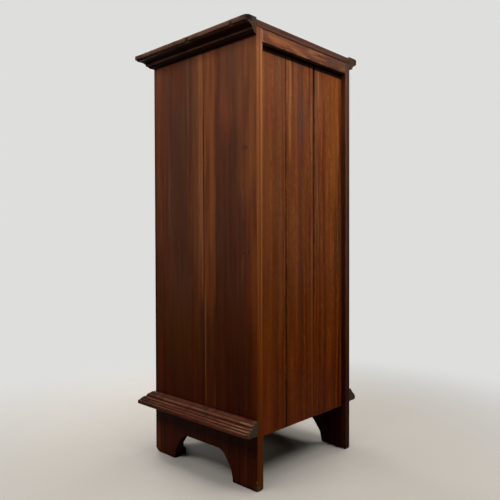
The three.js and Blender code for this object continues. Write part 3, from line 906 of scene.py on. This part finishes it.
class Shape(Sheet):
    """A Geometry Nodes tree with named sizes."""

    def __init__(self, name, inputs):
        super().__init__(bpy.data.node_groups.new(name, "GeometryNodeTree"))
        self.tree.is_modifier = True
        face = self.tree.interface
        face.new_socket("Geometry", in_out="OUTPUT", socket_type="NodeSocketGeometry")
        self.sizes = {}
        for label, kind in inputs.items():
            socket = face.new_socket(label, in_out="INPUT", socket_type=f"NodeSocket{kind}")
            self.sizes[label] = socket.identifier
        self.entry = self.tree.nodes.new("NodeGroupInput")

    def size(self, label):
        """One of the tree's named sizes."""
        return Wire(self, self.entry.outputs[label])

    def carried(self, label):
        """What each point of the outline carries under a label."""
        return self.node("GeometryNodeInputNamedAttribute", {"data_type": "FLOAT"}, (label,))

    def sweep(self, path, caps):
        """The outline carried along a path, each point knowing its share of the way."""
        share = self.node("GeometryNodeSplineParameter", out="Factor")
        marked = self.node("GeometryNodeStoreNamedAttribute", {"data_type": "FLOAT"}, {
            "Geometry": path, "Name": "share", "Value": share})
        outline = self.node("GeometryNodeObjectInfo", None, {"Object": self.size("Outline")},
                            out="Geometry")
        loop = self.node("GeometryNodeMeshToCurve", None, {"Mesh": outline})
        return self.node("GeometryNodeCurveToMesh", None, {
            "Curve": marked, "Profile Curve": loop, "Fill Caps": caps})

    def close(self, geometry, place):
        """Each point in its place, the seams joined and the finish on."""
        moved = self.node("GeometryNodeSetPosition", None, {
            "Geometry": geometry, "Position": place})
        joined = self.node("GeometryNodeMergeByDistance", None, {
            "Geometry": moved, "Distance": 0.001 * MM})
        real = self.node("GeometryNodeRealizeInstances", None, {"Geometry": joined})
        dressed = self.node("GeometryNodeSetMaterial", None, {
            "Geometry": real, "Material": self.size("Finish")})
        self.node("NodeGroupOutput", None, {"Geometry": dressed})


# Length over which a moulding's cut end is rounded off
END_ROUNDING = 9 * MM


def run_shape():
    """A moulding or bead: its outline carried straight, mitred at its ends or worn at its last."""
    shape = Shape("straight run", {
        "Outline": "Object", "Length": "Float", "Start Mitre": "Float", "End Mitre": "Float",
        "Step": "Float", "Wear": "Float", "Worn End": "Float", "Seed": "Float",
        "Finish": "Material"})
    length = shape.size("Length")
    line = shape.node("GeometryNodeCurvePrimitiveLine", None, {"End": shape.join(length, 0, 0)})
    path = shape.node("GeometryNodeResampleCurve", {"mode": "LENGTH"}, {
        "Curve": line, "Length": shape.size("Step")})
    swept = shape.sweep(path, True)
    share, out, up, crest = (shape.carried(k) for k in ("share", "out", "up", "crest"))
    along = share * length
    rubbing = shape.node("ShaderNodeTexNoise", {"noise_dimensions": "4D"}, {
        "Vector": shape.join(along, out, up), "W": shape.size("Seed"), "Scale": 55.0,
        "Detail": 3.0})
    wandering = shape.node("ShaderNodeTexNoise", {"noise_dimensions": "4D"}, {
        "Vector": shape.join(along, 0, 0), "W": shape.size("Seed"), "Scale": 9.0})
    loss = shape.rise(rubbing, 0.5, 0.8) * crest * shape.size("Wear")
    near = shape.function("MAXIMUM", 1 - (1 - share) * length * (1 / END_ROUNDING), 0)
    end = (1 - (1 - near * near) ** 0.5) * shape.size("Worn End")
    proud = (out - loss - (wandering - 0.5) * shape.size("Wear") * shape.rise(out, 0, 0.01)) * (
        1 - end)
    place = shape.join(along - (1 - share) * shape.size("Start Mitre") * proud
                       + share * shape.size("End Mitre") * proud, proud, up)
    shape.close(swept, place)
    return shape


def turned_shape():
    """A turned piece: its outline carried round an axis."""
    shape = Shape("turned piece", {
        "Outline": "Object", "Turns": "Int", "Finish": "Material"})
    path = shape.node("GeometryNodeCurvePrimitiveCircle", None, {
        "Resolution": shape.size("Turns"), "Radius": 1.0})
    swept = shape.sweep(path, False)
    share, out, up = (shape.carried(k) for k in ("share", "out", "up"))
    angle = share * radians(360)
    place = shape.join(out * shape.function("COSINE", angle), up * -1,
                       out * shape.function("SINE", angle))
    shape.close(swept, place)
    return shape


def outline_of(name, points, closed):
    """An outline whose points carry how far out and up they are, and how proud they stand."""
    count = len(points)
    links = [(i, i + 1) for i in range(count - 1)] + [(count - 1, 0)] * closed
    mesh = bpy.data.meshes.new(name)
    mesh.from_pydata([(out, up, 0) for out, up, _ in points], links, [])
    for column, key in enumerate(("out", "up", "crest")):
        layer = mesh.attributes.new(key, "FLOAT", "POINT")
        layer.data.foreach_set("value", [point[column] for point in points])
    return in_scene(name, mesh)


def drawn(*moves, steps=7):
    """Points in metres through moves in millimetres: out, up, crest, an arc's bulge, its crest."""
    points = [(moves[0][0] * MM, moves[0][1] * MM, moves[0][2])]
    for move in moves[1:]:
        out, up, crest = move[0] * MM, move[1] * MM, move[2]
        if len(move) == 3:
            points.append((out, up, crest))
            continue
        peak = move[4] if len(move) > 4 else 1.0
        start = Vector(points[-1][:2])
        end = Vector((out, up))
        chord = end - start
        control = (start + end) / 2 + Vector((chord.y, -chord.x)) * move[3]
        for step in range(1, steps + 1):
            t = step / steps
            spot = start * (1 - t) ** 2 + control * 2 * t * (1 - t) + end * t * t
            points.append((spot.x, spot.y, crest if step == steps else 4 * t * (1 - t) * peak))
    return points


def grown(name, shape, **sizes):
    """The plain mesh that a Geometry Nodes tree makes from its named sizes."""
    base = in_scene(name, bpy.data.meshes.new(name))
    modifier = base.modifiers.new("shape", "NODES")
    modifier.node_group = shape.tree
    for label, value in sizes.items():
        modifier[shape.sizes[label.replace("_", " ")]] = value
    graph = bpy.context.evaluated_depsgraph_get()
    mesh = bpy.data.meshes.new_from_object(
        base.evaluated_get(graph), preserve_all_data_layers=True, depsgraph=graph)
    base.modifiers.clear()
    bpy.data.objects.remove(base)
    for key in ("out", "up", "share"):
        mesh.attributes.remove(mesh.attributes[key])
    mesh.name = name
    return mesh


def smoothed(mesh):
    """Smooth but for its sharp edges."""
    mesh.shade_smooth()
    mesh.set_sharp_from_angle(angle=radians(42))
    return mesh


def turned_outward(mesh):
    """Faces outward on a closed mesh, then smoothed."""
    shape = bmesh.new()
    shape.from_mesh(mesh)
    bmesh.ops.recalc_face_normals(shape, faces=shape.faces)
    if shape.calc_volume(signed=True) < 0:
        bmesh.ops.reverse_faces(shape, faces=shape.faces)
    shape.to_mesh(mesh)
    shape.free()
    return smoothed(mesh)


def set_in_place(mesh, origin, along, out, up):
    """Moves a run from its own axes to its place on the chest."""
    place = Matrix((along, out, up)).transposed().to_4x4()
    place.translation = origin
    mesh.transform(place)
    return turned_outward(mesh)


RUN = run_shape()
TURNED = turned_shape()

# Cornice, from its soffit at the body, out and up: crest is 1 on high parts, 0 in grooves.
# Crest also paints light here: the lowest reed, though round, gets crest 0 and is laid near black,
# painted shade under the overhang; the middle reed and the reed under the face get high crests
# and are laid paler, painted highlights
CORNICE = outline_of("cornice outline", drawn(
    (0, 0.5, 0), (5.5, 0.9, 0), (10.4, 4.4, 0, 0.22, 0), (10.1, 5.2, 0), (11.2, 5.6, 0),
    (15.0, 10.0, 0, 0.42), (14.4, 10.8, 0), (15.8, 11.4, 0.15), (23.0, 16.6, 0.15, -0.16, 0.1),
    (24.4, 17.0, 0.2), (27.0, 18.0, 0.2), (30.4, 20.8, 0.2, 0.36, 0.9), (30.2, 21.6, 0.1),
    (32.4, 21.7, 0.6), (33.0, 22.4, 0.8, 0.2), (33.0, 30.4, 0.7), (30.2, 33.2, 0.9, 0.24),
    (27.0, 34.0, 0.4), (0, 34, 0.2)), True)
BASE = outline_of("base moulding outline", drawn(
    (0, 0, 0), (29.8, 0, 0.3), (32.0, 2.2, 0.8, 0.24), (32.0, 8.4, 0.8), (30.3, 10.4, 0.5, 0.24),
    (28.7, 10.3, 0), (28.2, 10.9, 0), (24.5, 15.9, 0, 0.2), (23.8, 15.6, 0), (23.5, 16.4, 0),
    (19.8, 19.2, 0, 0.26), (19.2, 18.8, 0), (18.7, 19.5, 0.2), (17.3, 19.8, 0.3), (16.8, 21.5, 0),
    (11.5, 27.1, 0, 0.2), (11.0, 26.8, 0), (10.5, 27.6, 0), (8.2, 29.1, 0.2, 0.2, 0.6),
    (7.7, 30.2, 0.4), (6.6, 31.0, 0.4, 0.24, 0.6), (0, 31, 0.2)), True)
BEAD = outline_of("bead outline", drawn(
    (0, -0.3, 0), (0, 0, 0), (2.4, 0, 0, -0.8), (2.4, -0.3, 0)), True)
KNOB = outline_of("knob outline", drawn(
    (0, -15.9, 0), (3.9, -15.9, 0), (3.9, 0, 0), (10.4, 0, 0), (10.6, 2.5, 0.4, 0.55),
    (9.3, 2.5, 0), (9.0, 2.1, 0), (5.5, 5.4, 0, -0.25), (5.5, 6.2, 0), (6.3, 6.7, 0.5, 0.3),
    (5.8, 7.5, 0, 0.4), (12.5, 14.6, 1, 0.3), (7.4, 22.4, 0.8, 0.2), (6.6, 22.3, 0), (6.2, 22.8, 0),
    (0, 24.0, 0.6, 0.06)), False)

MOULDING_TONES = ["1c110c", "3a2419", "4c3022", "644636"]
PLINTH_TONES = ["241009", "3e2010", "502b19", "664028"]

# How far the cornice's face stands out
CORNICE_REACH = 33 * MM

# Nicks in the lower edge of the right-hand cornice's face: behind the middle, and how wide
NICKS = ((-11, 7), (128, 6))
NICK_Z = CORNICE_BOTTOM + 24 * MM


def end_marks(wood, crest, end, bright):
    """A cut end and its dirt, paler crests near it, partly polish and partly painted highlight, a
    handled edge and the nicks.
    """
    fleck = wood.patches(wood.place, (420, 420, 420), 0.42, 0.6)
    sawn_end = wood.mix(fleck * 0.6, colour(end), colour("1c110c"))
    clean = wood.band(abs(wood.z - CORNICE_BOTTOM), 8 * MM, 23 * MM, 2 * MM)
    on_cornice = wood.fall(CORNICE_BOTTOM - wood.z, 0, 0.1)
    right_hand = wood.rise(wood.x, -0.01, 0.01)
    outer = wood.past(abs(wood.x), OUTER_X, 9, 20)
    dirt = (1 - clean) * on_cornice * (right_hand * 0.6 + 0.3) * outer
    sawn_end = wood.mix(dirt, sawn_end, colour("0a0402"))
    cut = wood.past(wood.y, BACK_Y, -1.6, -0.5)
    wood.matt = wood.function("MAXIMUM", wood.matt, cut)
    wood.base = wood.mix(cut, wood.base, sawn_end)
    front_corner = wood.past(abs(wood.x), OUTER_X, -40, 20) * (
        1 - wood.past(wood.y, FRONT_Y, -10, 60))
    wood.shade(front_corner * 0.5, "967c68")
    # Paler crests near the cut end: partly polish from wear, partly painted highlights.
    polished = wood.past(wood.y, BACK_Y, -90, -30) * wood.rise(crest, 0.75, 0.95) * (
        wood.patches(wood.fibres, (90, 90, 30), 0.4, 0.6))
    wood.lay(polished * bright, "946e54")
    handled = (wood.past(wood.y, BACK_Y, -22, -8) * wood.past(wood.z, CORNICE_BOTTOM, 22, 26)
               * right_hand * outer)
    wood.shade(handled * 0.75, "56504c")
    for y, radius in NICKS:
        nick = wood.spot((OUTER_X + CORNICE_REACH, MIDDLE_Y + y * MM, NICK_Z), radius * MM)
        wood.lay(nick * 0.75, "180b07")


def relief_marks(wood, rubbed=0.5, worn="8d5c40", end=None, grime_and_shade="120503", bright=0.0):
    """Darker grooves and paler crests, by how proud each part stands: dirt in the grooves and
    rubbed crests, and on the cornice also painted shade under the overhang and painted highlights
    on the reeds.
    """
    crest = wood.node("ShaderNodeAttribute", {"attribute_name": "crest"}, out="Fac")
    wood.lay(wood.patches(wood.place, (38, 38, 60), 0.52, 0.62, 3.0, 0.6) * 0.5, "1e0d08")
    # Laid near black and made matt where crest is low: dirt in the grooves, and on the cornice's
    # lowest reed painted shade under the overhang.
    wood.matt = wood.fall(crest, 0.02, 0.45)
    wood.lay(wood.matt * 0.85, grime_and_shade)
    rubbing = wood.patches(wood.fibres, (60, 60, 9), 0.42, 0.66, 3.0, 0.6)
    # Paler crests: rubbed wear, and on the cornice's reeds also painted highlights.
    wood.lay(wood.rise(crest, 0.5, 0.95) * rubbing * rubbed, worn)
    if end:
        end_marks(wood, crest, end, bright)


def chip(mesh, centre, radius, push):
    """Wood lost round a point: everything near it is pushed in."""
    for vertex in mesh.vertices:
        near = 1 - (vertex.co - Vector(centre)).length / radius
        if near > 0:
            vertex.co += Vector(push) * (near * (2 - near))


def chip_cornice(mesh, side):
    """Two nicks in the right-hand cornice, and the lost lower corner of the left one's end."""
    if side > 0:
        for y, radius in NICKS:
            chip(mesh, (OUTER_X + CORNICE_REACH, MIDDLE_Y + y * MM, NICK_Z), radius * MM,
                 (-3 * MM, 0, 2 * MM))
        return
    for vertex in mesh.vertices:
        near_end = min(1.0, max(0.0, vertex.co.y - BACK_Y + 9 * MM) / (3 * MM))
        lost = near_end * 5.5 * MM
        vertex.co.z = max(vertex.co.z, CORNICE_BOTTOM + lost)


# Kind, outline, lowest height, wear, how rounded the left and right cut ends are, tones, marks
MOULDINGS = (
    # On the cornice, its worn and dark colours lay painted highlights and painted shade as well, by
    # crest.
    ("cornice", CORNICE, CORNICE_BOTTOM, 1.2 * MM, {-1: 0.06, 1: 0.2}, MOULDING_TONES,
     partial(relief_marks, rubbed=0.4, worn="5e4536", end="3a2a1f", grime_and_shade="210c06")),
    ("base_moulding", BASE, BASE_BOTTOM, 0.9 * MM, {-1: 0.24, 1: 0.24}, PLINTH_TONES,
     partial(relief_marks, rubbed=0.3, worn="6c4832", end="4a3d32", bright=0.3)))


def make_mouldings():
    up = Vector((0, 0, 1))
    for kind_seed, (kind, outline, bottom, wear, rounded, tones, marks) in enumerate(MOULDINGS):
        for name, side in (("front", 0), *SIDES):
            if side:
                origin = Vector((side * OUTER_X, FRONT_Y, bottom))
                along, out = Vector((0, 1, 0)), Vector((side, 0, 0))
                length, end_mitre, worn_end = BACK_Y - FRONT_Y, 0.0, rounded[side]
            else:
                origin = Vector((-OUTER_X, FRONT_Y, bottom))
                along, out = Vector((1, 0, 0)), Vector((0, -1, 0))
                length, end_mitre, worn_end = 2 * OUTER_X, 1.0, 0.0
            seed = 3.0 * kind_seed + side + 1.5
            finish = stained(f"{kind} {name} stain", LEVEL_SIDE if side else LEVEL_FACE, seed,
                             tones, marks=marks, rough=0.45)
            mesh = grown(f"{kind}_{name}_run", RUN, Outline=outline, Length=length,
                         Start_Mitre=1.0, End_Mitre=end_mitre, Step=1.5 * MM, Wear=wear,
                         Worn_End=worn_end, Seed=seed, Finish=finish)
            set_in_place(mesh, origin, along, out, up)
            if side and kind == "cornice":
                chip_cornice(mesh, side)
            piece(f"{kind}_{name}_run", mesh, "carcass", finish, "moulding_wood",
                  f"{kind}_{name}")


make_mouldings()


# Drawers

# Pale wood inside, unpolished: grain, seed and how rough
INSIDE_TONES = ["6a4426", "8f6640", "a98154", "c29c6c"]
INSIDE_WOODS = {"side": (LEVEL_SIDE, 1.2, 0.65), "bottom": (LEVEL_TOP, 2.3, 0.7),
                "back": (LEVEL_FACE, 3.4, 0.7)}

BEAD_TONES = ["2a140c", "4e2a1c", "663a28", "804e38"]
KNOB_TONES = ["1c0c07", "35190f", "4a2617", "5e3420"]
BEAD_INSET = 2.7 * MM


def bead_mesh(low, high, face_y, seed, finish):
    """A half-round bead, mitred round a drawer front."""
    left, right = low.x + BEAD_INSET, high.x - BEAD_INSET
    bottom, top = low.z + BEAD_INSET, high.z - BEAD_INSET
    across, upward, proud = Vector((1, 0, 0)), Vector((0, 0, 1)), Vector((0, -1, 0))
    shape = bmesh.new()
    for corner, along, inward, length in (
            ((left, bottom), across, upward, right - left),
            ((left, top), across, -upward, right - left),
            ((left, bottom), upward, across, top - bottom),
            ((right, bottom), upward, -across, top - bottom)):
        mesh = grown("bead", RUN, Outline=BEAD, Length=length, Start_Mitre=-1.0, End_Mitre=-1.0,
                     Step=12 * MM, Wear=0.0, Worn_End=0.0, Seed=seed, Finish=finish)
        set_in_place(mesh, Vector((corner[0], face_y, corner[1])), along, inward, proud)
        shape.from_mesh(mesh)
        bpy.data.meshes.remove(mesh)
    return smoothed(written(shape, "bead"))


def dress(node, finish):
    """Gives a CAD node its wood."""
    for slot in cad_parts[node].material_slots:
        slot.material = finish


def make_drawers():
    knob_finish = stained("knob polish", LEVEL_FACE, 8.8, KNOB_TONES, marks=relief_marks,
                          rough=0.32, coat=0.3)
    bead_finish = stained("bead stain", LEVEL_FACE, 2.9, BEAD_TONES, rough=0.4)
    inside = {part: stained(f"drawer {part} wood", grain, seed, INSIDE_TONES, rough=rough)
              for part, (grain, seed, rough) in INSIDE_WOODS.items()}
    knob = grown("turned knob", TURNED, Outline=KNOB, Turns=40, Finish=knob_finish)
    for number in DRAWER_NUMBERS:
        body = f"drawer_{number}"
        low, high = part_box(f"{body}_front")
        front = eased_copy(f"{body}_front", 0.7 * MM, 0.12 * MM, seed=number)
        piece(f"{body}_front_eased", front, body, stained(
            f"drawer {number} front stain", LEVEL_FACE, 10 + number * 1.7, FACE_TONES, broad=0.6,
            heart=(low.z + high.z) / 2 + (number % 3 - 1) * 0.03, depth=0.2 + 0.01 * number,
            ring=0.24, box=(low, high), rough=0.38, coat=0.2), "drawer_front_wood",
            f"{body}_front")
        piece(f"{body}_bead", bead_mesh(low, high, low.y, number, bead_finish), body,
              bead_finish, "drawer_front_wood")
        turned = knob.copy()
        turned.transform(Matrix.Translation((0, low.y, (low.z + high.z) / 2)))
        turned_outward(turned)
        piece(f"{body}_knob_turned", turned, body, knob_finish, "knob_wood", f"{body}_knob")
        dress(f"{body}_back", inside["back"])
        dress(f"{body}_bottom", inside["bottom"])
        for name, _ in SIDES:
            dress(f"{body}_side_{name}", inside["side"])
    dress("bottom_board", inside["bottom"])
    for name, _ in SIDES:
        dress(f"runner_rack_{name}", inside["side"])


make_drawers()
for helper in (CORNICE, BASE, BEAD, KNOB):
    bpy.data.objects.remove(helper)
